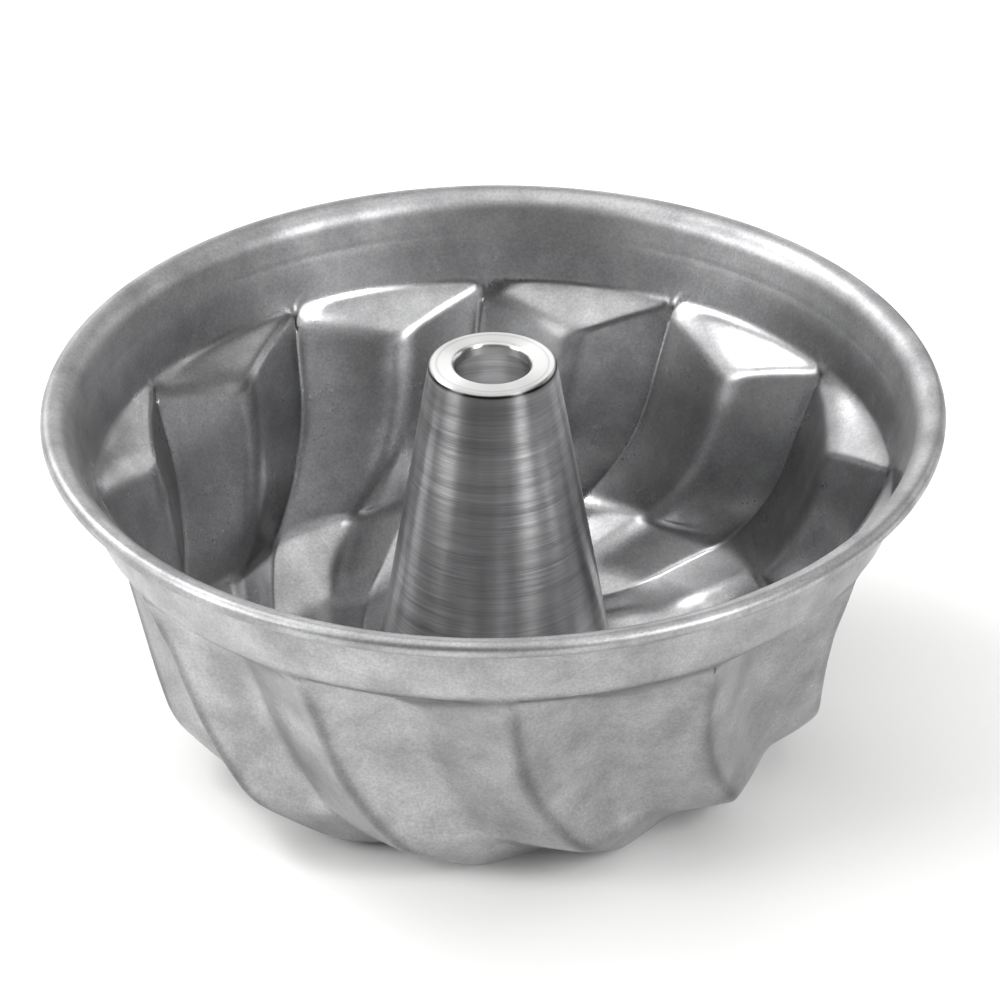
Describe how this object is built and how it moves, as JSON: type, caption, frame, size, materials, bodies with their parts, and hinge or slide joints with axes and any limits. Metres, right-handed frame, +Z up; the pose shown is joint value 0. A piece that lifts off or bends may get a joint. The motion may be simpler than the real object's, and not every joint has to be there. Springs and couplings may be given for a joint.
{
  "type": "bundt pan",
  "caption": "Ring cake pan of pressed aluminium with leaning flutes, a smooth collar, a rolled rim and a hollow spun centre tube.",
  "frame": {"origin": "centre of the circle that the pan stands on, under the middle of the tube", "axes": "+Z up along the tube; one groove of the flutes starts near +Y, the back, and -Y is the front"},
  "size_m": [0.23, 0.23, 0.1076],
  "materials": {
    "pressed_aluminium": "bare pressed sheet, satin, with fine rolling marks and scattered specks",
    "spun_aluminium": "bare spun sheet, brighter, with fine rings round the axis",
    "zinced_steel_wire": "drawn wire with a dull zinc coat, hidden in the rolled rim"
  },
  "bodies": {
    "root": {"fluted_shell": "pressed_aluminium", "centre_tube": "spun_aluminium", "rim_wire": "zinced_steel_wire"}
  },
  "joints": []
}
